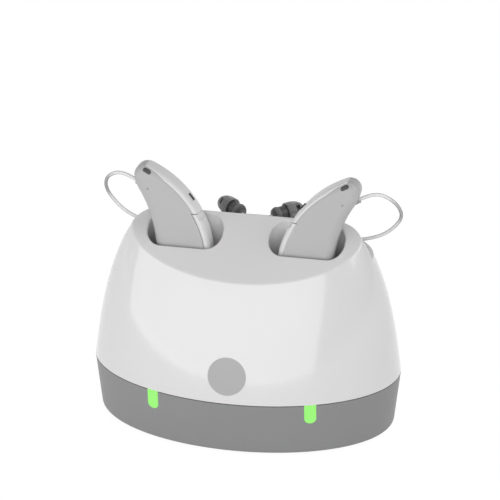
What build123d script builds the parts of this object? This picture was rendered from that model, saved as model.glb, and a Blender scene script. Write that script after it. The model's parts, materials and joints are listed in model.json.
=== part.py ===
"""Desktop charger with a pair of behind-the-ear hearing aids standing in its two wells.

Millimetres, +Z up, the front faces -Y. Heights are measured from the underside of the
base; the finished pieces are lifted by the part of the rubber feet that stands proud, so
the origin lies on the table under the middle of the base.
"""
from build123d import *
import math
import os

os.makedirs("parts", exist_ok=True)

# Charger, overall
FOOT_PROUD = 0.6
WALL = 2.0
FIT = 0.15
SEAM_HALF_WIDTH = 40.0
SEAM_HALF_DEPTH = 24.8

# Base
BASE_HEIGHT = 14.6
BASE_TAPER = 1.6
BASE_EDGE_RADIUS = 1.4
BASE_FLOOR = 2.0
LIP_HEIGHT = 2.0
LIP_THICKNESS = 0.9

# Upper shell
SEAM_GAP = 0.25
SHELL_RISE = 40.2
SIDE_LEAN = 5.1
SIDE_CROWN = 6.8
FRONT_LEAN = 7.5
FRONT_CROWN = 7.1
REAR_LEAN = 3.2
REAR_CROWN = 4.8
TOP_HEIGHT = 52.9
TOP_SLOPE = 28.8
RIDGE_Y = 3.4
RIDGE_CORNER = 5.2
SHELF_HEIGHT = 47.2
TOP_RIM_RADIUS = 0.8
WELL_RIM_RADIUS = 0.5

# Wells
WELL_X = 15.7
WELL_Y = -2.1
WELL_DATUM = 50.0
WELL_LENGTH = 19.3
WELL_WIDTH = 8.6
WELL_CORNER = 4.0
WELL_DEPTH = 13.4
WELL_TAPER = 0.8
WELL_TAPER_START = -2.0
WELL_WALL = 1.2
SEAT_THICKNESS = 1.1
LEAN = 8.0

# Windows, badge and inlet
LED_X = 20.4
LED_WIDTH = 2.9
LED_DROP = 5.3
LED_SIZE = 1.6
LAMP_WIDTH = 2.2
LAMP_DEPTH = 1.4
LAMP_SETBACK = 0.4
BADGE_X = -0.7
BADGE_HEIGHT = 21.8
BADGE_DIAMETER = 9.9
BADGE_THICKNESS = 0.5
INLET_WIDTH = 10.6
INLET_HEIGHT = 5.6

# Inside the base
BOSS_X = 30.5
BOSS_Y = 5.0
BOSS_DIAMETER = 7.0
BOSS_TOP = 11.8
SCREW_DIAMETER = 2.6
SCREW_HEAD = 4.6
SCREW_HEAD_HEIGHT = 1.6
SCREW_LENGTH = 15.0
FOOT_DIAMETER = 8.0
FOOT_RECESS = 1.0
BALLAST_LENGTH = 40.0
BALLAST_WIDTH = 24.0
BALLAST_HEIGHT = 3.0
BOARD_LENGTH = 46.0
BOARD_WIDTH = 33.0
BOARD_THICKNESS = 1.6
BOARD_HEIGHT = 7.0
POST_DIAMETER = 4.0
POST_X = 16.5
POST_Y = 14.2
BOARD_SCREW_DIAMETER = 1.8
BOARD_SCREW_HEAD = 3.2
BOARD_SCREW_HEAD_HEIGHT = 1.0

# Charging parts under each well
COIL_DIAMETER = 8.0
COIL_BORE = 3.6
COIL_HEIGHT = 1.0
FERRITE_HEIGHT = 0.8
HOLDER_WALL = 1.0
FLEX_WIDTH = 4.0
FLEX_THICKNESS = 0.3
PLUG_LENGTH = 5.2
PLUG_WIDTH = 2.6
PLUG_HEIGHT = 1.8

# Hearing aid
AID_THICKNESS = 7.4
AID_EDGE_RADIUS = 2.2
AID_WALL = 2.6
AID_SIDE_WALL = 0.9
CAVITY_TOP = 14.5
COVER_PROUD = 0.3
COVER_DEPTH = 1.4
COVER_WIDTH = 6.6
NOSE_START = 5.0
NOSE_WIDTH = 3.4
ROCKER_TOP = 6.6
ROCKER_FOOT = -7.2
ROCKER_GAP = 0.25
ROCKER_PLAY = 0.4
ROCKER_PIVOT = -4.3
NOTCH_RADIUS = 1.4
NOTCH_CENTRE = (-4.85, 6.4)
PIN_DIAMETER = 0.9
PIN_CLEARANCE = 0.04
LUG_WIDTH = 2.4
BATTERY_DIAMETER = 7.2
BATTERY_LENGTH = 3.4
AID_BOARD_THICKNESS = 0.8

# Receiver wire, receiver and dome
WIRE_DIAMETER = 0.9
PLUG_DIAMETER = 1.8
RECEIVER_DIAMETER = 3.8
RECEIVER_LENGTH = 5.2
DOME_DIAMETER = 5.0
DOME_LENGTH = 3.8
DOME_WALL = 0.5
DOME_SKIRT = 1.4
NOZZLE_DIAMETER = 2.0

# Side view of the aid in its own frame: corners, a point on the spine, and their rounding
AID_TIP = (14.3, 19.8)
AID_SPINE = (0.35, 12.1)
AID_HEEL = (-6.95, -12.2)
AID_TOE = (7.1, -12.2)
AID_HOLLOW = (7.1, -4.9)
AID_NECK = (12.7, 13.0)
TIP_RADIUS = 2.75
NECK_RADIUS = 8.0
TOE_RADIUS = 5.5
HEEL_RADIUS = 6.5

# The wire of the right aid, from its plug in the tip, round the outside and over the
# shelf, to the inner end of the receiver
WIRE_ROUTE = [
    (28.7, -0.1, 63.3),
    (32.4, 0.2, 65.4),
    (36.5, 1.3, 63.5),
    (38.4, 5.2, 59.0),
    (38.2, 8.7, 54.4),
    (34.6, 9.2, 50.0),
    (29.8, 8.0, 48.4),
    (24.8, 7.0, 48.2),
    (19.6, 6.6, 48.3),
    (14.4, 7.2, 48.1),
    (9.6, 6.2, 48.1),
    (5.2, 5.8, 48.2),
    (1.9, 6.9, 49.0),
    (0.75, 10.0, 50.1),
    (4.0, 12.6, 50.3),
]

sine = math.sin(math.radians(LEAN))
cosine = math.cos(math.radians(LEAN))
aid_plane = Plane(origin=(WELL_X, WELL_Y, WELL_DATUM), x_dir=(1, 0, 0), z_dir=(0, -cosine, sine))
well_plane = Plane(origin=(WELL_X, WELL_Y, WELL_DATUM), x_dir=(1, 0, 0), z_dir=(0, sine, cosine))
top_normal = (0, -math.sin(math.radians(TOP_SLOPE)), math.cos(math.radians(TOP_SLOPE)))
seam_top = BASE_HEIGHT + SEAM_GAP
shell_top = TOP_HEIGHT + RIDGE_Y


def half_width(height):
    """Half width of the upper shell's outer wall at a height above the base's underside."""
    rise = (height - seam_top) / SHELL_RISE
    return SEAM_HALF_WIDTH - SIDE_LEAN * rise - SIDE_CROWN * rise**3


def front_depth(height):
    rise = (height - seam_top) / SHELL_RISE
    return SEAM_HALF_DEPTH - FRONT_LEAN * rise - FRONT_CROWN * rise**2


def rear_depth(height):
    rise = (height - seam_top) / SHELL_RISE
    return SEAM_HALF_DEPTH - REAR_LEAN * rise - REAR_CROWN * rise**2


def oval_depth(x):
    """Half depth of the seam's outline at a distance from the middle."""
    return SEAM_HALF_DEPTH * math.sqrt(1 - (x / SEAM_HALF_WIDTH) ** 2)


def shell_section(height, inset):
    """Plan outline of the upper shell: one half ellipse in front and a deeper one behind."""
    width = half_width(height) - inset
    rear = EllipticalCenterArc((0, 0), width, rear_depth(height) - inset, start_angle=0, arc_size=180)
    front = EllipticalCenterArc((0, 0), width, front_depth(height) - inset, start_angle=180, arc_size=180)
    return Pos(0, 0, height) * make_face([rear, front])


def shell_loft(bottom, inset):
    count = 6
    step = (shell_top - bottom) / (count - 1)
    return loft([shell_section(bottom + i * step, inset) for i in range(count)])


def ridge_block(inset):
    """Space in front of the ridge, whose rear corners are rounded into the sides."""
    faces = []
    for height in (SHELF_HEIGHT - WALL - 1, (SHELF_HEIGHT + shell_top) / 2, shell_top + 1):
        width = 2 * (half_width(height) - inset)
        block = Rectangle(width, 2 * SEAM_HALF_DEPTH, align=(Align.CENTER, Align.MAX))
        block = fillet(block.vertices().group_by(Axis.Y)[-1], RIDGE_CORNER - inset)
        faces.append(Pos(0, RIDGE_Y - inset, height) * block)
    return loft(faces)


def below_top(inset):
    """Half space under the slanted top face."""
    plane = Plane(origin=(0, 0, TOP_HEIGHT), z_dir=top_normal)
    size = 6 * SEAM_HALF_WIDTH
    return plane * Pos(0, 0, -inset) * Box(size, size, size, align=(Align.CENTER, Align.CENTER, Align.MAX))


def top_edges(shell):
    """Edges that lie in the slanted top face."""
    origin = Vector(0, 0, TOP_HEIGHT)
    normal = Vector(*top_normal)
    edges = []
    for edge in shell.edges():
        if all(abs((edge @ part - origin).dot(normal)) < 0.001 for part in (0, 0.3, 0.6, 1)):
            edges.append(edge)
    return edges


def slab(bottom, top):
    size = 4 * SEAM_HALF_WIDTH
    return Pos(0, 0, bottom) * Box(size, size, top - bottom, align=(Align.CENTER, Align.CENTER, Align.MIN))


def shell_form(bottom, inset):
    """Solid form of the upper shell, with the ridge, its slanted top and the rear shelf."""
    body = shell_loft(bottom, inset)
    shelf = SHELF_HEIGHT - inset
    lower = body & slab(bottom - 1, shelf)
    upper = body & slab(shelf, shell_top + 1) & ridge_block(inset)
    return (lower + upper) & below_top(inset)


def well_form(growth, top, bottom):
    """A well's funnel in its own leaning frame, grown by a wall thickness."""
    faces = []
    for height, taper in ((top, 0), (WELL_TAPER_START, 0), (bottom, 1)):
        length = WELL_LENGTH + 2 * growth - 2 * WELL_TAPER * taper
        width = WELL_WIDTH + 2 * growth
        faces.append(Pos(0, 0, height) * RectangleRounded(length, width, WELL_CORNER + growth * 0.99))
    upper = loft([faces[0], faces[1]])
    lower = loft([faces[1], faces[2]])
    return well_plane * (upper + lower)


def at_bosses(piece):
    places = [(sx * BOSS_X, sy * BOSS_Y) for sx in (-1, 1) for sy in (-1, 1)]
    return [Pos(x, y, 0) * piece for x, y in places]


def at_posts(piece):
    places = [(sx * POST_X, sy * POST_Y) for sx in (-1, 1) for sy in (-1, 1)]
    return [Pos(x, y, 0) * piece for x, y in places]


def upright(diameter, bottom, top):
    return Pos(0, 0, bottom) * Cylinder(diameter / 2, top - bottom, align=(Align.CENTER, Align.CENTER, Align.MIN))


def both(piece):
    return [piece, mirror(piece, Plane.YZ)]


def base_form(bottom, top, inset):
    """Tapered oval form of the base between two heights."""
    faces = []
    for height in (bottom, top):
        taper = BASE_TAPER * (1 - height / BASE_HEIGHT)
        faces.append(Pos(0, 0, height) * Ellipse(SEAM_HALF_WIDTH - taper - inset, SEAM_HALF_DEPTH - taper - inset))
    return loft(faces)


def window_form(depth, shrink):
    """U-shaped light window that ends at the seam, as a prism through the front wall."""
    width = LED_WIDTH - 2 * shrink
    straight = LED_DROP - LED_WIDTH / 2
    plane = Plane(origin=(LED_X, 0, BASE_HEIGHT), x_dir=(1, 0, 0), z_dir=(0, -1, 0))
    face = Pos(0, -straight / 2) * Rectangle(width, straight)
    face += Pos(0, -straight) * Circle(width / 2)
    return plane * Pos(0, 0, oval_depth(LED_X) - depth) * extrude(face, depth + 3)


def make_base_shell():
    outer = base_form(0, BASE_HEIGHT, 0)
    outer = fillet(outer.edges().group_by(Axis.Z)[0], BASE_EDGE_RADIUS)
    shell = outer - base_form(BASE_FLOOR, BASE_HEIGHT + 1, WALL)
    lip = base_form(BASE_HEIGHT - 1, BASE_HEIGHT + LIP_HEIGHT, WALL - LIP_THICKNESS)
    lip -= base_form(BASE_HEIGHT - 2, BASE_HEIGHT + LIP_HEIGHT + 1, WALL)
    shell += lip
    for boss in at_bosses(upright(BOSS_DIAMETER, 1, BOSS_TOP)):
        shell += boss
    for post in at_posts(upright(POST_DIAMETER, 1, BOARD_HEIGHT)):
        shell += post
    for foot in at_bosses(upright(FOOT_DIAMETER, -1, FOOT_RECESS)):
        shell -= foot
    head_top = FOOT_RECESS + SCREW_HEAD_HEIGHT
    for hole in at_bosses(upright(SCREW_HEAD + 2 * FIT, FOOT_RECESS - 0.5, head_top)):
        shell -= hole
    for hole in at_bosses(upright(SCREW_DIAMETER + 2 * FIT, head_top - 0.5, BOSS_TOP + 1)):
        shell -= hole
    for hole in at_posts(upright(BOARD_SCREW_DIAMETER, BOARD_HEIGHT - 4, BOARD_HEIGHT + 1)):
        shell -= hole
    for window in both(window_form(WALL + 2, 0)):
        shell -= window
    inlet = RectangleRounded(INLET_WIDTH, INLET_HEIGHT, INLET_HEIGHT / 2 - 0.01)
    plane = Plane(origin=(0, BOARD_WIDTH / 2, inlet_height()), x_dir=(1, 0, 0), z_dir=(0, -1, 0))
    shell -= plane * extrude(inlet, -SEAM_HALF_DEPTH)
    return shell


def inlet_height():
    return BOARD_HEIGHT + BOARD_THICKNESS + 1.4


def make_upper_shell():
    outer = shell_form(seam_top, 0)
    outer = fillet(max(top_edges(outer), key=lambda edge: edge.length), TOP_RIM_RADIUS)
    for well in both(well_form(0, 12, -WELL_DEPTH)):
        outer -= well
    rims = [edge for edge in top_edges(outer) if edge.length < WELL_LENGTH]
    rims = [edge for edge in rims if abs(edge.center().X) < WELL_X + WELL_LENGTH / 2]
    outer = fillet(rims, WELL_RIM_RADIUS)
    rebate_top = seam_top + LIP_HEIGHT + FIT
    cavity = shell_form(seam_top - 1, WALL)
    for well in both(well_form(WELL_WALL, 12, -WELL_DEPTH - WELL_WALL)):
        cavity -= well
    for pillar in at_bosses(upright(BOSS_DIAMETER, BOSS_TOP, SHELF_HEIGHT)):
        cavity -= pillar
    shell = outer - cavity
    rebate = base_form(seam_top - 1, rebate_top, WALL - LIP_THICKNESS - FIT)
    shell -= rebate - shell_loft(seam_top - 1, WALL)
    for pillar in at_bosses(upright(BOSS_DIAMETER, BOSS_TOP + FIT, seam_top + 1)):
        shell += pillar
    for hole in at_bosses(upright(SCREW_DIAMETER, BOSS_TOP - 1, SCREW_LENGTH + 5)):
        shell -= hole
    return shell - badge_form(0)


def badge_form(shrink):
    """Disc let into the front of the shell and flush with it."""
    slope = (front_depth(BADGE_HEIGHT - 1) - front_depth(BADGE_HEIGHT + 1)) / 2
    place = (BADGE_X, -front_depth(BADGE_HEIGHT), BADGE_HEIGHT)
    plane = Plane(origin=place, x_dir=(1, 0, 0), z_dir=(0, -1, slope))
    disc = plane * extrude(Circle(BADGE_DIAMETER / 2 - shrink), BADGE_DIAMETER / 2, both=True)
    return (disc & shell_loft(seam_top, 0)) - shell_loft(seam_top, BADGE_THICKNESS)


def make_lens():
    """Light window with the square pipe that leads back to its lamp on the board."""
    window = window_form(WALL + 1.8, 0) & base_form(0, BASE_HEIGHT, 0)
    plane = Plane(origin=(LED_X, 0, lamp_height()), x_dir=(1, 0, 0), z_dir=(0, -1, 0))
    length = oval_depth(LED_X) - WALL - 1.3 - lamp_face()
    return window + plane * Pos(0, 0, lamp_face()) * extrude(Rectangle(LED_SIZE, LED_SIZE), length)


def lamp_height():
    return BOARD_HEIGHT + BOARD_THICKNESS + LED_SIZE / 2


def lamp_face():
    return BOARD_WIDTH / 2 - LAMP_SETBACK


def make_lamps():
    lamp = Box(LAMP_WIDTH, LAMP_DEPTH, LED_SIZE, align=(Align.CENTER, Align.MIN, Align.MIN))
    return group(both(Pos(LED_X, FIT - lamp_face(), BOARD_HEIGHT + BOARD_THICKNESS) * lamp))


def group(pieces):
    """One node that holds several separate solids."""
    return Compound(children=[piece.solids()[0] for piece in pieces])


def make_board():
    board = Pos(0, 0, BOARD_HEIGHT) * extrude(RectangleRounded(BOARD_LENGTH, BOARD_WIDTH, 3), BOARD_THICKNESS)
    for hole in at_posts(upright(BOARD_SCREW_DIAMETER + 2 * FIT, BOARD_HEIGHT - 1, BOARD_HEIGHT + 3)):
        board -= hole
    return board


def make_board_screws():
    top = BOARD_HEIGHT + BOARD_THICKNESS
    screw = upright(BOARD_SCREW_DIAMETER - 0.02, BOARD_HEIGHT - 3.5, top)
    screw += upright(BOARD_SCREW_HEAD, top, top + BOARD_SCREW_HEAD_HEIGHT)
    screw -= Pos(0, 0, top + BOARD_SCREW_HEAD_HEIGHT) * Box(0.5, 2.2, 1)
    return group(at_posts(screw))


def make_case_screws():
    head = upright(SCREW_HEAD, FOOT_RECESS, FOOT_RECESS + SCREW_HEAD_HEIGHT)
    shank = upright(SCREW_DIAMETER - 0.02, FOOT_RECESS + SCREW_HEAD_HEIGHT, SCREW_LENGTH + FOOT_RECESS)
    screw = head + shank - upright(1.6, FOOT_RECESS - 1, FOOT_RECESS + 0.8)
    return group(at_bosses(screw))


def make_feet():
    foot = upright(FOOT_DIAMETER - 2 * FIT, -FOOT_PROUD, FOOT_RECESS)
    foot = fillet(foot.edges().group_by(Axis.Z)[0], 0.3)
    return group(at_bosses(foot))


def make_ballast():
    plate = extrude(RectangleRounded(BALLAST_LENGTH, BALLAST_WIDTH, 3), BALLAST_HEIGHT)
    return Pos(0, 0, BASE_FLOOR) * chamfer(plate.edges().group_by(Axis.Z)[-1], 0.4)


def make_usb_socket():
    top = BOARD_HEIGHT + BOARD_THICKNESS
    back = BOARD_WIDTH / 2
    depth = 7.4
    plane = Plane(origin=(0, back + 3.4, top + 1.6), x_dir=(1, 0, 0), z_dir=(0, 1, 0))
    shell = plane * extrude(RectangleRounded(8.9, 3.2, 1.5), -depth)
    mouth = plane * extrude(RectangleRounded(8.3, 2.6, 1.25), -depth + 1)
    tongue = plane * extrude(Rectangle(6.6, 0.7), -depth + 0.5)
    return shell - mouth + tongue


def make_board_chips():
    top = BOARD_HEIGHT + BOARD_THICKNESS
    chips = []
    for x, y, length, width, height in (
        (0, -2, 7, 7, 1.0),
        (-9, 7, 4, 3, 1.2),
        (9, 7, 4, 3, 1.2),
        (0, 7.5, 3, 2, 0.8),
        (-16, 5, 3.2, 1.6, 1.4),
        (16, 5, 3.2, 1.6, 1.4),
        (-6, -12, 4, 4, 2.2),
        (6, -12, 4, 4, 2.2),
    ):
        chips.append(Pos(x, y, top) * Box(length, width, height, align=(Align.CENTER, Align.CENTER, Align.MIN)))
    return group(chips)


def make_seat():
    """Soft liner in the foot of a well, dished to take the lower end of the aid."""
    floor = -WELL_DEPTH
    pad = well_form(-FIT, 12, -WELL_DEPTH) & (well_plane * slab(floor, floor + SEAT_THICKNESS + 2.4))
    aid = extrude(offset(aid_face(), 0.35), AID_THICKNESS / 2 + 0.3, both=True)
    return pad - aid_plane * aid


def stack_plane(drop):
    """Plane square to the well's lean, a distance under the floor of the well."""
    return well_plane * Pos(0, 0, -WELL_DEPTH - WELL_WALL - drop)


def disc_at(drop, diameter, height):
    return stack_plane(drop + height) * Cylinder(diameter / 2, height, align=(Align.CENTER, Align.CENTER, Align.MIN))


def make_coil():
    return disc_at(0, COIL_DIAMETER, COIL_HEIGHT) - disc_at(-1, COIL_BORE, COIL_HEIGHT + 2)


def make_ferrite():
    return disc_at(COIL_HEIGHT, COIL_DIAMETER, FERRITE_HEIGHT)


def make_holder():
    inner = COIL_DIAMETER + 2 * FIT
    depth = COIL_HEIGHT + FERRITE_HEIGHT
    cup = disc_at(0, inner + 2 * HOLDER_WALL, depth + HOLDER_WALL)
    return cup - disc_at(-1, inner, depth + 1)


def make_flex():
    bottom = BOARD_HEIGHT + BOARD_THICKNESS + PLUG_HEIGHT
    centre = stack_plane(COIL_HEIGHT + FERRITE_HEIGHT + HOLDER_WALL).position
    top = centre.Z - 0.5
    ribbon = Box(FLEX_WIDTH, FLEX_THICKNESS, top - bottom, align=(Align.CENTER, Align.CENTER, Align.MIN))
    return Pos(WELL_X, centre.Y, bottom) * ribbon


def make_flex_plugs():
    centre = stack_plane(COIL_HEIGHT + FERRITE_HEIGHT + HOLDER_WALL).position
    top = BOARD_HEIGHT + BOARD_THICKNESS
    plug = Box(PLUG_LENGTH, PLUG_WIDTH, PLUG_HEIGHT, align=(Align.CENTER, Align.CENTER, Align.MIN))
    return group(both(Pos(WELL_X, centre.Y, top) * plug))


def aid_face():
    """Side view of the aid without its spine cover, in the aid's own frame."""
    outline = [
        ThreePointArc(AID_TIP, AID_SPINE, AID_HEEL),
        Line(AID_HEEL, AID_TOE),
        Line(AID_TOE, AID_HOLLOW),
        TangentArc(AID_HOLLOW, AID_NECK, tangent=(0, 1)),
        Line(AID_NECK, AID_TIP),
    ]
    face = make_face(outline)
    corners = ((AID_TIP, TIP_RADIUS), (AID_NECK, NECK_RADIUS), (AID_TOE, TOE_RADIUS), (AID_HEEL, HEEL_RADIUS))
    for corner, radius in corners:
        face = fillet(face.vertices().sort_by_distance(corner)[0], radius)
    return face


def spine_band(inner, outer):
    """Band that follows the outline between two offsets, inwards and outwards."""
    return offset(aid_face(), outer) - offset(aid_face(), -inner)


def spine_zone(bottom, top):
    """Part of the side view on the spine's side of the aid."""
    spine = make_face(Polyline((-14, bottom), (0.5, bottom), (0.5, 4), (9.6, 17.2), (13.0, 24), (-14, 24), close=True))
    return spine & (Pos(0, (bottom + top) / 2) * Rectangle(60, top - bottom))


def spine_piece(inner, outer, width, bottom, top):
    return extrude(spine_band(inner, outer) & spine_zone(bottom, top), width / 2, both=True)


def cover_piece(inner, outer, bottom):
    """Piece of the spine from a height up to the tip, where it narrows to a nose."""
    wide = COVER_WIDTH / 2
    narrow = NOSE_WIDTH / 2
    end = AID_TIP[0]
    plan = Polyline(
        (-14, wide), (NOSE_START, wide), (end, narrow), (end, -narrow), (NOSE_START, -wide), (-14, -wide), close=True
    )
    nose = extrude(Plane.XZ * make_face(plan), 30, both=True)
    return spine_piece(inner, outer, COVER_WIDTH, bottom, 24) & nose


def pivot():
    """Centre of the rocker's pin, in the aid's own frame."""
    return Pos(ROCKER_PIVOT, (ROCKER_TOP + ROCKER_FOOT) / 2)


def aid_form(thickness):
    """Rounded form of the aid at a thickness, about its middle plane."""
    outer = extrude(aid_face(), thickness / 2, both=True)
    rims = outer.edges().group_by(Axis.Z)
    return fillet(rims[0] + rims[-1], AID_EDGE_RADIUS)


def crowned(piece):
    """A piece of the spine cut to its rounding, a little proud of the body beside it."""
    return piece & aid_form(AID_THICKNESS + 2 * COVER_PROUD)


def inner_face(inset, bottom, top):
    """Side view of the aid's inside between two heights."""
    return offset(aid_face(), -inset) & (Pos(0, (bottom + top) / 2) * Rectangle(60, top - bottom))


def make_aid_body():
    cavity = extrude(inner_face(AID_WALL, -14, CAVITY_TOP), AID_THICKNESS / 2 - AID_SIDE_WALL, both=True)
    body = aid_form(AID_THICKNESS) - cavity
    body -= cover_piece(COVER_DEPTH, 3, ROCKER_TOP)
    depth = COVER_DEPTH + ROCKER_PLAY
    width = COVER_WIDTH + 2 * ROCKER_GAP
    body -= spine_piece(depth, 3, width, ROCKER_FOOT - ROCKER_GAP, ROCKER_TOP + ROCKER_GAP)
    lug = pivot() * Cylinder(1.6, LUG_WIDTH + 2 * ROCKER_GAP)
    body -= lug
    body -= pivot() * Cylinder(PIN_DIAMETER / 2, AID_THICKNESS - 1.4)
    body -= mic_form(0)
    body -= plug_form()
    body -= tip_pin_form()
    body -= side_pin_form()
    return body


def plug_form():
    """Round plug of the receiver wire, pushed into the hollow side of the tip."""
    start = aid_plane.to_local_coords(Vector(*WIRE_ROUTE[0]))
    ahead = aid_plane.to_local_coords(Vector(*WIRE_ROUTE[1]))
    axis = (ahead - start).normalized()
    plane = Plane(origin=start - axis * 2.6, z_dir=axis)
    return plane * Cylinder(PLUG_DIAMETER / 2, 2.6, align=(Align.CENTER, Align.CENTER, Align.MIN))


def tip_pin_form():
    """Oval release pin, set square into the rounding of the tip."""
    place = Pos(9.6, 17.2, AID_THICKNESS / 2 - 0.35) * Rot(0, 0, 30) * Rot(-33, 0, 0)
    return place * Pos(0, 0, -0.6) * extrude(SlotOverall(2.3, 1.2), 0.64)


def side_pin_form():
    return Pos(9.3, 12.6, AID_THICKNESS / 2 - 0.5) * extrude(Circle(0.33), 0.52)


def make_aid_cover():
    return crowned(cover_piece(COVER_DEPTH, 1, ROCKER_TOP + ROCKER_GAP)) - mic_form(0)


def mic_form(shrink):
    """Slot over the microphone, along the middle of the spine cover."""
    plane = Pos(-1.05, 10.1) * Rot(0, 0, 51)
    return plane * Box(2.1 - shrink, 1.2, 0.5 - shrink)


def make_aid_rocker():
    """Rocker switch with its lug, and a notch across its upper end for the finger."""
    rocker = crowned(spine_piece(COVER_DEPTH, 1, COVER_WIDTH, ROCKER_FOOT, ROCKER_TOP))
    rocker -= Pos(*NOTCH_CENTRE) * Cylinder(NOTCH_RADIUS, AID_THICKNESS)
    rocker += pivot() * Cylinder(1.2, LUG_WIDTH)
    return rocker - pivot() * Cylinder(PIN_DIAMETER / 2 + PIN_CLEARANCE, AID_THICKNESS)


def make_aid_pin():
    return pivot() * Cylinder(PIN_DIAMETER / 2, AID_THICKNESS - 1.4)


def make_aid_battery():
    return Pos(0.3, -5.7, -BATTERY_LENGTH / 2 + 0.8) * Cylinder(BATTERY_DIAMETER / 2, BATTERY_LENGTH)


def make_aid_coil():
    ring = Cylinder(BATTERY_DIAMETER / 2, 0.8) - Cylinder(BATTERY_DIAMETER / 4, 2)
    return Pos(0.3, -5.7, 0.8 + 0.4) * ring


def make_aid_board():
    return extrude(inner_face(AID_WALL + 0.1, 1.6, CAVITY_TOP - 0.3), AID_BOARD_THICKNESS / 2, both=True)


def make_aid_chips():
    chips = [
        Pos(2.2, 2.2, AID_BOARD_THICKNESS / 2) * Box(3.4, 3.0, 0.9, align=(Align.CENTER, Align.CENTER, Align.MIN)),
        Pos(4.4, 7.4, AID_BOARD_THICKNESS / 2) * Box(2.4, 2.4, 0.9, align=(Align.CENTER, Align.CENTER, Align.MIN)),
    ]
    return group(chips)


def wire_path():
    """The wire's route as straight runs joined by the largest arcs that they allow."""
    points = [Vector(*p) for p in WIRE_ROUTE]
    radii = []
    for before, here, after in zip(points, points[1:], points[2:]):
        turn = (here - before).get_angle(after - here)
        shorter = min((here - before).length, (after - here).length)
        radii.append(0.45 * shorter / math.tan(math.radians(turn / 2)))
    print("wire bend radii", " ".join(f"{r:.1f}" for r in radii))
    return FilletPolyline(*points, radius=radii)


def make_wire():
    path = wire_path()
    start = Plane(origin=path @ 0, z_dir=path % 0)
    wire = sweep(start * Circle(WIRE_DIAMETER / 2), path=path)
    area = math.pi * WIRE_DIAMETER**2 / 4
    print("wire length", round(path.length, 2), "volume ratio", round(wire.volume / (area * path.length), 4))
    return wire


def receiver_plane():
    end = Vector(*WIRE_ROUTE[-1])
    return Plane(origin=end, z_dir=end - Vector(*WIRE_ROUTE[-2]))


def make_receiver():
    """Sound capsule at the end of the wire, with the nozzle that carries the dome."""
    radius = RECEIVER_DIAMETER / 2
    body = Cylinder(radius, RECEIVER_LENGTH, align=(Align.CENTER, Align.CENTER, Align.MIN))
    body = fillet(body.edges(), radius * 0.45)
    nozzle = upright(NOZZLE_DIAMETER, RECEIVER_LENGTH - 0.5, RECEIVER_LENGTH + DOME_LENGTH - 1.2)
    return receiver_plane() * (body + nozzle - upright(0.9, RECEIVER_LENGTH, RECEIVER_LENGTH + DOME_LENGTH))


def make_dome():
    """Soft bell on the nozzle, whose skirt opens back over the end of the capsule."""
    rim = DOME_DIAMETER / 2
    inner = NOZZLE_DIAMETER / 2
    shoulder = 0.85 * rim
    height = 0.6 * DOME_LENGTH
    outline = [
        Line((inner, 0), (inner, DOME_LENGTH)),
        ThreePointArc((inner, DOME_LENGTH), (shoulder, height), (rim, -DOME_SKIRT)),
        Line((rim, -DOME_SKIRT), (rim - DOME_WALL, -DOME_SKIRT)),
        ThreePointArc(
            (rim - DOME_WALL, -DOME_SKIRT),
            (shoulder - DOME_WALL, height - DOME_WALL),
            (inner + DOME_WALL, DOME_LENGTH - 2 * DOME_WALL),
        ),
        Line((inner + DOME_WALL, DOME_LENGTH - 2 * DOME_WALL), (inner + DOME_WALL, 0)),
        Line((inner + DOME_WALL, 0), (inner, 0)),
    ]
    bell = revolve(Plane.XZ * make_face(outline), Axis.Z)
    return receiver_plane() * Pos(0, 0, RECEIVER_LENGTH + 0.05) * bell


def save(name, piece):
    lifted = Pos(0, 0, FOOT_PROUD) * piece
    solids = lifted.solids()
    lifted = solids[0] if len(solids) == 1 else Compound(children=list(solids))
    export_step(lifted, f"parts/{name}.step")


def save_pair(name, piece):
    save(f"right_{name}", piece)
    save(f"left_{name}", mirror(piece, Plane.YZ))


save("base_shell", make_base_shell())
save("upper_shell", make_upper_shell())
save("front_badge", badge_form(0.02))
save("status_lamps", make_lamps())
save("main_board", make_board())
save("board_screws", make_board_screws())
save("board_chips", make_board_chips())
save("usb_socket", make_usb_socket())
save("case_screws", make_case_screws())
save("rubber_feet", make_feet())
save("ballast_plate", make_ballast())
save("flex_plugs", make_flex_plugs())
save_pair("light_window", make_lens())
save_pair("well_seat", make_seat())
save_pair("charge_coil", make_coil())
save_pair("ferrite_disc", make_ferrite())
save_pair("coil_holder", make_holder())
save_pair("coil_flex", make_flex())
save_pair("aid_body", aid_plane * make_aid_body())
save_pair("aid_cover", aid_plane * make_aid_cover())
save_pair("aid_mic_screen", aid_plane * mic_form(0.02))
save_pair("aid_rocker", aid_plane * make_aid_rocker())
save_pair("aid_rocker_pin", aid_plane * make_aid_pin())
save_pair("aid_battery", aid_plane * make_aid_battery())
save_pair("aid_coil", aid_plane * make_aid_coil())
save_pair("aid_board", aid_plane * make_aid_board())
save_pair("aid_chips", aid_plane * make_aid_chips())
save_pair("aid_tip_pin", aid_plane * tip_pin_form())
save_pair("aid_side_pin", aid_plane * side_pin_form())
save_pair("wire_plug", aid_plane * plug_form())
save_pair("receiver_wire", make_wire())
save_pair("receiver", make_receiver())
save_pair("ear_dome", make_dome())
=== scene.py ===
"""Looks of a desktop hearing aid charger with a pair of aids standing in its wells.

Metres, +Z up, the front faces -Y, and the origin lies on the table under the base.
"""
import json
import math

import bpy
from mathutils import Matrix, Vector


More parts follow.
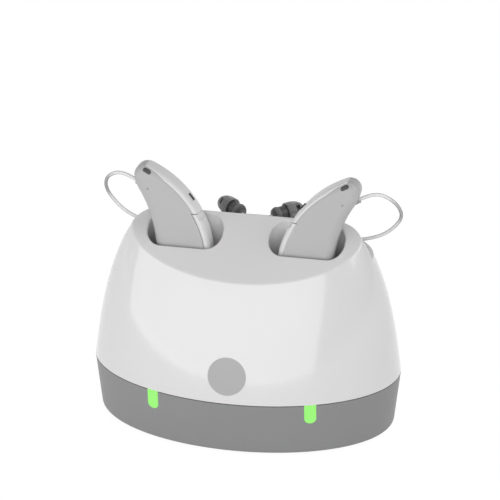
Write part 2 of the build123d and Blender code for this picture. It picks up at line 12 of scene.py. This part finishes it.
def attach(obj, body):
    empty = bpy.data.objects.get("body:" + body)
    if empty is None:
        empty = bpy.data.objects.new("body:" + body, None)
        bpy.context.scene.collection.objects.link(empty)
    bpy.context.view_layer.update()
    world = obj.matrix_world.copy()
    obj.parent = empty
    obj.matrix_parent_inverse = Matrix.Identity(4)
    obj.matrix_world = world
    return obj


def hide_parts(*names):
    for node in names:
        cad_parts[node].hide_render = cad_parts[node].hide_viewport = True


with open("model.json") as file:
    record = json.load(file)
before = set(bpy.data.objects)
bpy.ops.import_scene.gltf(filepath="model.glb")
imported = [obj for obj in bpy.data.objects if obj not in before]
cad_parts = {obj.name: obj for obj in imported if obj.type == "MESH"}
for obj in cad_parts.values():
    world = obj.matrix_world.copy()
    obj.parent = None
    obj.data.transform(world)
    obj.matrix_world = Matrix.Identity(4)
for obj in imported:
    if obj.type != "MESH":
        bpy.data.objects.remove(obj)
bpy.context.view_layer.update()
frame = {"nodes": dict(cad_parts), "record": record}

MM = 0.001
# Each side's name, and its sign along X
SIDES = (("left", -1), ("right", 1))
# Length over which a moulded colour drifts
DRIFT_MM = 18

# Camera, from the perspective of the photograph; it aims a little above and to the right of its target
CAMERA_TURN = math.radians(11.51)
CAMERA_TILT = math.radians(27.88)
CAMERA_DISTANCE = 0.863
CAMERA_TARGET = Vector((0, 0, 0.0206))
AIM_ABOVE = 0.02353
AIM_RIGHT = 0.0006
CAMERA_LENS = 240.4
SENSOR_WIDTH = 36
CLIP_START = 0.01

# Room light, how much of its white gloss sees, and the table with its own white
ROOM_LIGHT = 0.36
ROOM_IN_GLOSS = 0.5
TABLE_SIZE = 6
TABLE_WHITE = 1.1
TABLE_WHITE_SHARE = 0.86

# Softboxes: turn and tilt in degrees, distance, width and height, and power in watts
SOFTBOX_AIM = Vector((0, 0, 0.03))
SOFTBOXES = {
    "front_softbox": (-20, 15, 0.31, (0.80, 0.22), 0.74),
    "upper_right_softbox": (85, 36, 0.70, (0.50, 0.50), 1.4),
    "left_softbox": (-95, 8, 0.80, (0.50, 0.40), 0.2),
}

# Receiver wire of the right aid, from the plug in the tip to the receiver on the shelf
WIRE_DIAMETER = 0.0009
WIRE_ROUTE = [
    (0.0287, -0.0001, 0.0639),
    (0.0324, 0.0002, 0.0660),
    (0.0365, 0.0013, 0.0641),
    (0.0384, 0.0052, 0.0596),
    (0.0382, 0.0087, 0.0550),
    (0.0346, 0.0092, 0.0506),
    (0.0298, 0.0080, 0.0490),
    (0.0248, 0.0070, 0.0488),
    (0.0196, 0.0066, 0.0489),
    (0.0144, 0.0072, 0.0487),
    (0.0096, 0.0062, 0.0487),
    (0.0052, 0.0058, 0.0488),
    (0.0019, 0.0069, 0.0496),
    (0.00075, 0.0100, 0.0507),
    (0.0040, 0.0126, 0.0509),
]

# Receiver and dome, along the receiver's own axis from the end of the wire
RECEIVER_LENGTH = 0.0052
DOME_RADIUS = 0.0025
DOME_LENGTH = 0.0037
DOME_SKIRT = 0.0013
DOME_WALL = 0.0003
BOOT_RADIUS = 0.0021
BOOT_LENGTH = 0.0030
BOOT_CENTRE = 0.00126

# Unit sphere that a dome starts from: how far below its middle it ends, and the vents in its crown
SPHERE_CUT = 0.35
VENT_HEIGHTS = (0.25, 0.62)
VENT_PITCH = 90
VENT_ANGLES = (22, 68)

# Leaning frame of the right aid: outwards, up the lean, and out of its front face
AID_ORIGIN = Vector((0.0157, -0.0021, 0.0506))
AID_LEAN = math.radians(8)

# Release pin in that frame: its middle, its turn and tilt, and half of each of its sizes
RELEASE_PIN = Vector((0.0096, 0.0172, 0.00338))
RELEASE_TURN = math.radians(30)
RELEASE_TILT = math.radians(33)
RELEASE_HALF_SIZES = (0.00115, 0.0006, 0.00022)


def srgb(text):
    """Linear colour of an sRGB hex value."""
    channels = [int(text[i:i + 2], 16) / 255 for i in (1, 3, 5)]
    linear = [c / 12.92 if c <= 0.04045 else ((c + 0.055) / 1.055) ** 2.4 for c in channels]
    return (*linear, 1.0)


def add_node(tree, kind, inputs=None, **settings):
    """Adds a node; an input given as another node's output is linked, any other is set."""
    node = tree.nodes.new(kind)
    for name, value in settings.items():
        setattr(node, name, value)
    for key, value in (inputs or {}).items():
        if isinstance(value, bpy.types.NodeSocket):
            tree.links.new(value, node.inputs[key])
        else:
            node.inputs[key].default_value = value
    return node


def new_material(name):
    """Empty node material; gives its tree and the Object coordinates that patterns follow."""
    material = bpy.data.materials.new(name)
    material.use_nodes = True
    tree = material.node_tree
    tree.nodes.clear()
    place = add_node(tree, "ShaderNodeTexCoord").outputs["Object"]
    return material, tree, place


def finish_material(tree, shader):
    add_node(tree, "ShaderNodeOutputMaterial", {"Surface": shader.outputs[0]})


def moulded(name, low, high, roughness, grain_mm, depth_mm, spread=0.04, **sockets):
    """Moulded plastic or rubber: a faint drift of colour, and the fine grain of its tool."""
    material, tree, place = new_material(name)
    drift = add_node(
        tree, "ShaderNodeTexNoise", {"Vector": place, "Scale": 1 / (DRIFT_MM * MM), "Detail": 3.0}
    )
    colour = add_node(
        tree, "ShaderNodeMix",
        {"Factor": drift.outputs["Fac"], 6: srgb(low), 7: srgb(high)}, data_type="RGBA",
    )
    grain = add_node(
        tree, "ShaderNodeTexNoise", {"Vector": place, "Scale": 1 / (grain_mm * MM), "Detail": 2.0}
    )
    shine = add_node(
        tree, "ShaderNodeMapRange",
        {"Value": grain.outputs["Fac"], "To Min": roughness - spread, "To Max": roughness + spread},
    )
    bump = add_node(
        tree, "ShaderNodeBump", {"Height": grain.outputs["Fac"], "Strength": 0.5, "Distance": depth_mm * MM}
    )
    shader = add_node(
        tree, "ShaderNodeBsdfPrincipled",
        {
            "Base Color": colour.outputs[2],
            "Roughness": shine.outputs["Result"],
            "Normal": bump.outputs["Normal"],
            **sockets,
        },
    )
    finish_material(tree, shader)
    return material


def drawn_steel(name, tone, roughness, streak_mm, spread=0.08):
    """Drawn or turned steel: fine lines along one way and a soft sheen."""
    material, tree, place = new_material(name)
    stretch = add_node(tree, "ShaderNodeMapping", {"Vector": place, "Scale": (1, 1, 0.06)})
    lines = add_node(
        tree, "ShaderNodeTexNoise",
        {"Vector": stretch.outputs[0], "Scale": 1 / (streak_mm * MM), "Detail": 4.0},
    )
    shine = add_node(
        tree, "ShaderNodeMapRange",
        {"Value": lines.outputs["Fac"], "To Min": roughness - spread, "To Max": roughness + spread},
    )
    shader = add_node(
        tree, "ShaderNodeBsdfPrincipled",
        {"Base Color": srgb(tone), "Metallic": 1.0, "Roughness": shine.outputs["Result"]},
    )
    finish_material(tree, shader)
    return material


def lit_window(name, cloud_mm=2):
    """Clear polycarbonate light window, evenly lit from behind by a green lamp."""
    material, tree, place = new_material(name)
    cloud = add_node(
        tree, "ShaderNodeTexNoise", {"Vector": place, "Scale": 1 / (cloud_mm * MM), "Detail": 1.0}
    )
    glow = add_node(
        tree, "ShaderNodeMix",
        {"Factor": cloud.outputs["Fac"], 6: srgb("#9CFC78"), 7: srgb("#A2FF80")}, data_type="RGBA",
    )
    shader = add_node(
        tree, "ShaderNodeBsdfPrincipled",
        {
            "Base Color": srgb("#1E2A1A"),
            "Roughness": 0.35,
            "Specular IOR Level": 0.2,
            "Emission Color": glow.outputs[2],
            "Emission Strength": 0.93,
        },
    )
    finish_material(tree, shader)
    return material


def painted_shade_sheath(name):
    """Nylon sheath with painted light and shade: white in the middle, and painted shade where its round
    sides turn away from the view.
    """
    material, tree, _ = new_material(name)
    facing = add_node(tree, "ShaderNodeLayerWeight", {"Blend": 0.5})
    sheath_shade_ramp = add_node(
        tree, "ShaderNodeMapRange",
        {"Value": facing.outputs["Facing"], "From Min": 0.25, "From Max": 0.75},
    )
    # Painted shade: the colour goes from painted white to grey as the sheath's sides turn away from the
    # view
    colour = add_node(
        tree, "ShaderNodeMix",
        {"Factor": sheath_shade_ramp.outputs["Result"], 6: srgb("#F4F4F4"), 7: srgb("#6E6E6E")}, data_type="RGBA",
    )
    shader = add_node(
        tree, "ShaderNodeBsdfPrincipled", {"Base Color": colour.outputs[2], "Roughness": 0.25, "IOR": 1.53}
    )
    finish_material(tree, shader)
    return material


def soft_clear(name, low, high, share, cloud_mm=1.5):
    """Smoky silicone that lets a share of the light straight through, and less where it turns away."""
    material, tree, place = new_material(name)
    cloud = add_node(
        tree, "ShaderNodeTexNoise", {"Vector": place, "Scale": 1 / (cloud_mm * MM), "Detail": 2.0}
    )
    colour = add_node(
        tree, "ShaderNodeMix",
        {"Factor": cloud.outputs["Fac"], 6: srgb(low), 7: srgb(high)}, data_type="RGBA",
    )
    edge = add_node(tree, "ShaderNodeLayerWeight", {"Blend": 0.45})
    thin = add_node(
        tree, "ShaderNodeMapRange",
        {"Value": edge.outputs["Facing"], "To Min": share, "To Max": share / 4},
    )
    skin = add_node(
        tree, "ShaderNodeBsdfPrincipled", {"Base Color": colour.outputs[2], "Roughness": 0.22, "IOR": 1.41}
    )
    through = add_node(tree, "ShaderNodeBsdfTransparent", {"Color": srgb("#D8D8D8")})
    shader = add_node(
        tree, "ShaderNodeMixShader", {0: thin.outputs["Result"], 1: skin.outputs[0], 2: through.outputs[0]}
    )
    finish_material(tree, shader)
    return material


materials = {
    # Under a clear gloss the satin shell mirrors the lamps with a crisp edge
    "shell_white": moulded("satin_white_abs", "#E4E2E3", "#E7E6E6", 0.35, 0.12, 0.002, **{
        "Coat Weight": 1.0, "Coat Roughness": 0.1, "Coat IOR": 1.7,
    }),
    "base_grey": moulded("grained_grey_abs", "#8F8F90", "#939394", 0.48, 0.15, 0.006, IOR=1.53),
    "badge_grey": moulded("pad_printed_grey_acrylic", "#B5B4B4", "#B8B7B7", 0.35, 0.2, 0.001),
    "window_green": lit_window("lit_green_polycarbonate"),
    "lamp_clear": moulded("clear_epoxy_lamp", "#DDF0D6", "#E8F8E0", 0.2, 0.2, 0.001),
    "board_green": moulded("solder_mask_green", "#0E5A32", "#12663A", 0.35, 0.4, 0.004),
    "chip_black": moulded("moulded_epoxy_black", "#1B1B1C", "#242425", 0.6, 0.08, 0.004),
    "screw_steel": drawn_steel("zinc_plated_steel", "#B9BBBE", 0.32, 0.2),
    "socket_steel": drawn_steel("drawn_stainless_steel", "#C6C7C9", 0.28, 0.15),
    "foot_rubber": moulded("black_moulded_rubber", "#1A1A1A", "#232323", 0.75, 0.1, 0.006),
    "ballast_steel": drawn_steel("pressed_plain_steel", "#8C8D90", 0.42, 0.3),
    "seat_rubber": moulded("grey_silicone_rubber", "#4C4C4D", "#565657", 0.6, 0.15, 0.004),
    "coil_copper": drawn_steel("enamelled_copper", "#C0703C", 0.3, 0.2),
    "ferrite_dark": moulded("sintered_ferrite", "#1D1D1F", "#2A2A2C", 0.55, 0.2, 0.004),
    "holder_plastic": moulded("dark_grey_nylon", "#505051", "#5A5A5B", 0.55, 0.2, 0.004),
    "flex_amber": moulded("polyimide_film", "#9A5C18", "#A8661E", 0.3, 0.3, 0.001),
    "aid_grey": moulded("satin_painted_grey", "#BDBDBD", "#C1C1C1", 0.42, 0.1, 0.002),
    "aid_silver": moulded("satin_painted_silver", "#E8E8E8", "#ECECEC", 0.30, 0.1, 0.002),
    "mic_mesh": moulded("dark_microphone_screen", "#2A2A2A", "#343434", 0.6, 0.1, 0.004),
    "battery_steel": drawn_steel("nickel_plated_can", "#C4C2BC", 0.25, 0.2),
    "aid_trim": moulded("dark_moulded_trim", "#484848", "#505050", 0.4, 0.1, 0.002),
    # Nearly the body's own grey, so that the pin is only a faint ring
    "side_pin_grey": moulded("moulded_grey_pin", "#9C9C9C", "#A4A4A4", 0.4, 0.1, 0.001),
    "plug_clear": moulded("smoky_nylon_plug", "#A8A8A8", "#B2B2B2", 0.3, 0.1, 0.001),
    # The wire's white middle and grey sides are painted light and shade
    "wire_clear": painted_shade_sheath("nylon_sheath_painted_shade"),
    "receiver_grey": moulded("dark_grey_receiver_shell", "#4A4A4A", "#525252", 0.35, 0.1, 0.002),
    "dome_silicone": soft_clear("smoky_silicone", "#A2A2A2", "#B8B8B8", 0.6),
    "receiver_boot": soft_clear("smoky_silicone_boot", "#868686", "#9C9C9C", 0.4),
}


def dress_nodes():
    """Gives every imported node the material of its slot, but the side pins their own faint grey."""
    slots = {row["node"]: row["material_slot"] for row in frame["record"]["subparts"]}
    for name, node in frame["nodes"].items():
        node.data.materials.clear()
        finish = "side_pin_grey" if name.endswith("side_pin") else slots[name]
        node.data.materials.append(materials[finish])


def deselect():
    bpy.ops.object.select_all(action="DESELECT")


def finish_piece(item, body, material):
    """Gives a new piece its material and the body that it moves with."""
    item.data.materials.clear()
    item.data.materials.append(materials[material])
    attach(item, body)


def make_wire(side, sign):
    """Thin clear wire along its route, as one smooth curve."""
    curve = bpy.data.curves.new(f"{side}_clear_wire", "CURVE")
    curve.dimensions = "3D"
    curve.resolution_u = 12
    curve.bevel_depth = WIRE_DIAMETER / 2
    curve.bevel_resolution = 5
    curve.use_fill_caps = True
    spline = curve.splines.new("NURBS")
    spline.points.add(len(WIRE_ROUTE) - 1)
    for point, (x, y, z) in zip(spline.points, WIRE_ROUTE):
        point.co = (sign * x, y, z, 1)
    spline.order_u = 3
    spline.use_endpoint_u = True
    wire = bpy.data.objects.new(curve.name, curve)
    bpy.context.scene.collection.objects.link(wire)
    curve.materials.append(materials["wire_clear"])
    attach(wire, f"{side}_aid")
    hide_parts(f"{side}_receiver_wire")


def receiver_turn(sign):
    """Origin and turn of a receiver, whose axis follows the last run of its wire."""
    before = Vector(WIRE_ROUTE[-2])
    end = Vector(WIRE_ROUTE[-1])
    before.x *= sign
    end.x *= sign
    return end, (end - before).to_track_quat("Z", "Y")


def add_sphere(name, segments, rings):
    """Unit sphere at the origin, as the start of a rounded piece."""
    deselect()
    bpy.ops.mesh.primitive_uv_sphere_add(segments=segments, ring_count=rings, radius=1)
    item = bpy.context.object
    item.name = name
    return item


def delete_faces(item, unwanted):
    """Deletes the faces whose centre passes a test."""
    bpy.ops.object.mode_set(mode="EDIT")
    bpy.ops.mesh.select_mode(type="FACE")
    bpy.ops.mesh.select_all(action="DESELECT")
    bpy.ops.object.mode_set(mode="OBJECT")
    for polygon in item.data.polygons:
        polygon.select = unwanted(polygon.center)
    bpy.ops.object.mode_set(mode="EDIT")
    bpy.ops.mesh.delete(type="FACE")
    bpy.ops.object.mode_set(mode="OBJECT")


def place_on_receiver(item, sign, along):
    """Turns a piece onto a receiver's axis and writes its place into the mesh."""
    origin, turn = receiver_turn(sign)
    item.rotation_mode = "QUATERNION"
    item.rotation_quaternion = turn
    item.location = origin + turn @ Vector((0, 0, along))
    bpy.ops.object.transform_apply(location=True, rotation=True, scale=True)


def in_vent(centre):
    """Whether a face of the unit sphere lies in one of the vents."""
    low, high = VENT_HEIGHTS
    first, last = VENT_ANGLES
    angle = math.degrees(math.atan2(centre.y, centre.x)) % VENT_PITCH
    return low < centre.z < high and first < angle < last


def make_dome(side, sign):
    """Thin silicone bell with four vents, open towards the receiver."""
    dome = add_sphere(f"{side}_vented_dome", 48, 24)
    delete_faces(dome, lambda centre: centre.z < -SPHERE_CUT or in_vent(centre))
    radius = DOME_RADIUS - DOME_WALL / 2
    for vertex in dome.data.vertices:
        x, y, height = vertex.co
        if height > 0:
            vertex.co = (x * radius, y * radius, height * DOME_LENGTH)
        else:
            flared = radius / math.sqrt(1 - height**2)
            vertex.co = (x * flared, y * flared, height * DOME_SKIRT / SPHERE_CUT)
    place_on_receiver(dome, sign, RECEIVER_LENGTH)
    shell = dome.modifiers.new("wall", "SOLIDIFY")
    shell.thickness = DOME_WALL
    shell.offset = 0
    smooth = dome.modifiers.new("smooth", "SUBSURF")
    smooth.levels = 1
    smooth.render_levels = 1
    bpy.ops.object.shade_smooth()
    finish_piece(dome, f"{side}_aid", "dome_silicone")
    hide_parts(f"{side}_ear_dome")


def make_boot(side, sign):
    """Rounded soft boot over the receiver's inner end, where the wire enters."""
    boot = add_sphere(f"{side}_receiver_boot", 32, 20)
    boot.scale = (BOOT_RADIUS, BOOT_RADIUS, BOOT_LENGTH / 2)
    place_on_receiver(boot, sign, BOOT_CENTRE)
    bpy.ops.object.shade_smooth()
    finish_piece(boot, f"{side}_aid", "receiver_boot")


def aid_direction(sign, outwards, up, front):
    """Direction in the leaning frame of one aid."""
    sine = math.sin(AID_LEAN)
    cosine = math.cos(AID_LEAN)
    return Vector((sign * outwards, up * sine - front * cosine, up * cosine + front * sine))


def make_release_pin(side, sign):
    """Softly domed oval pin in the rounding of the tip."""
    pin = add_sphere(f"{side}_release_pin", 32, 16)
    along = aid_direction(sign, math.cos(RELEASE_TURN), math.sin(RELEASE_TURN), 0)
    normal = aid_direction(
        sign, -math.sin(RELEASE_TURN) * math.sin(RELEASE_TILT),
        math.cos(RELEASE_TURN) * math.sin(RELEASE_TILT), math.cos(RELEASE_TILT),
    )
    axes = Matrix((along, normal.cross(along), normal)).transposed()
    origin = Vector((sign * AID_ORIGIN.x, AID_ORIGIN.y, AID_ORIGIN.z))
    pin.rotation_mode = "QUATERNION"
    pin.rotation_quaternion = axes.to_quaternion()
    pin.location = origin + aid_direction(sign, *RELEASE_PIN)
    pin.scale = RELEASE_HALF_SIZES
    bpy.ops.object.transform_apply(location=True, rotation=True, scale=True)
    bpy.ops.object.shade_smooth()
    finish_piece(pin, f"{side}_aid", "aid_trim")
    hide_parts(f"{side}_aid_tip_pin")


def direction(turn, tilt):
    """Direction out of the charger's front, turned about Z and tilted above the table."""
    return Vector((math.sin(turn) * math.cos(tilt), -math.cos(turn) * math.cos(tilt), math.sin(tilt)))


def make_floor():
    """White table that keeps only a faint shadow, so that the background stays white."""
    deselect()
    bpy.ops.mesh.primitive_plane_add(size=TABLE_SIZE)
    floor = bpy.context.object
    floor.name = "studio_floor"
    material, tree, _ = new_material("white_studio_table")
    paper = add_node(tree, "ShaderNodeBsdfDiffuse", {"Color": srgb("#E8E8E8")})
    white = add_node(tree, "ShaderNodeEmission", {"Color": (1, 1, 1, 1), "Strength": TABLE_WHITE})
    ray = add_node(tree, "ShaderNodeLightPath")
    seen = add_node(
        tree, "ShaderNodeMath",
        {0: ray.outputs["Is Camera Ray"], 1: ray.outputs["Is Glossy Ray"]}, operation="MAXIMUM",
    )
    seen_or_through = add_node(
        tree, "ShaderNodeMath",
        {0: seen.outputs[0], 1: ray.outputs["Is Transmission Ray"]}, operation="MAXIMUM",
    )
    share = add_node(
        tree, "ShaderNodeMath", {0: seen_or_through.outputs[0], 1: TABLE_WHITE_SHARE}, operation="MULTIPLY"
    )
    mix = add_node(
        tree, "ShaderNodeMixShader", {0: share.outputs[0], 1: paper.outputs[0], 2: white.outputs[0]}
    )
    finish_material(tree, mix)
    floor.data.materials.append(material)


def make_world():
    """Even pale room light; the camera and glass see pure white, and gloss sees a mix of the two."""
    world = bpy.data.worlds.new("white_studio")
    bpy.context.scene.world = world
    world.use_nodes = True
    tree = world.node_tree
    tree.nodes.clear()
    ray = add_node(tree, "ShaderNodeLightPath")
    seen = add_node(
        tree, "ShaderNodeMath",
        {0: ray.outputs["Is Camera Ray"], 1: ray.outputs["Is Transmission Ray"]}, operation="MAXIMUM",
    )
    glossy = add_node(
        tree, "ShaderNodeMath", {0: ray.outputs["Is Glossy Ray"], 1: ROOM_IN_GLOSS}, operation="MULTIPLY"
    )
    share = add_node(
        tree, "ShaderNodeMath", {0: seen.outputs[0], 1: glossy.outputs[0]}, operation="MAXIMUM"
    )
    room = add_node(tree, "ShaderNodeBackground", {"Color": (1, 1, 1, 1), "Strength": ROOM_LIGHT})
    white = add_node(tree, "ShaderNodeBackground", {"Color": (1, 1, 1, 1), "Strength": 1.0})
    mix = add_node(
        tree, "ShaderNodeMixShader", {0: share.outputs[0], 1: room.outputs[0], 2: white.outputs[0]}
    )
    add_node(tree, "ShaderNodeOutputWorld", {"Surface": mix.outputs[0]})


def add_softbox(name, turn, tilt, distance, size, power):
    """Rectangular lamp that faces the charger from a turn about Z and a tilt above the table."""
    lamp = bpy.data.lights.new(name, "AREA")
    lamp.shape = "RECTANGLE"
    lamp.size, lamp.size_y = size
    lamp.energy = power
    holder = bpy.data.objects.new(name, lamp)
    bpy.context.scene.collection.objects.link(holder)
    out = direction(math.radians(turn), math.radians(tilt))
    holder.location = SOFTBOX_AIM + out * distance
    holder.rotation_euler = (-out).to_track_quat("-Z", "Y").to_euler()


def make_lights():
    """A low panel near the front, a lamp to the upper right and a weak one on the left."""
    for name, (turn, tilt, distance, size, power) in SOFTBOXES.items():
        add_softbox(name, turn, tilt, distance, size, power)


def make_camera():
    """Camera at the photograph's viewing angle, aimed a little off its target."""
    camera = bpy.data.cameras.new("photo_camera")
    camera.lens = CAMERA_LENS
    camera.sensor_width = SENSOR_WIDTH
    camera.clip_start = CLIP_START
    holder = bpy.data.objects.new("photo_camera", camera)
    bpy.context.scene.collection.objects.link(holder)
    back = direction(CAMERA_TURN, CAMERA_TILT)
    right = Vector((math.cos(CAMERA_TURN), math.sin(CAMERA_TURN), 0))
    up = back.cross(right)
    holder.location = CAMERA_TARGET + back * CAMERA_DISTANCE
    aim = CAMERA_TARGET + up * AIM_ABOVE + right * AIM_RIGHT
    holder.rotation_euler = (aim - holder.location).to_track_quat("-Z", "Y").to_euler()
    bpy.context.scene.camera = holder


make_camera()
dress_nodes()
for side, sign in SIDES:
    make_wire(side, sign)
    make_dome(side, sign)
    make_boot(side, sign)
    make_release_pin(side, sign)
make_floor()
make_world()
make_lights()
bpy.context.scene.view_settings.view_transform = "Standard"
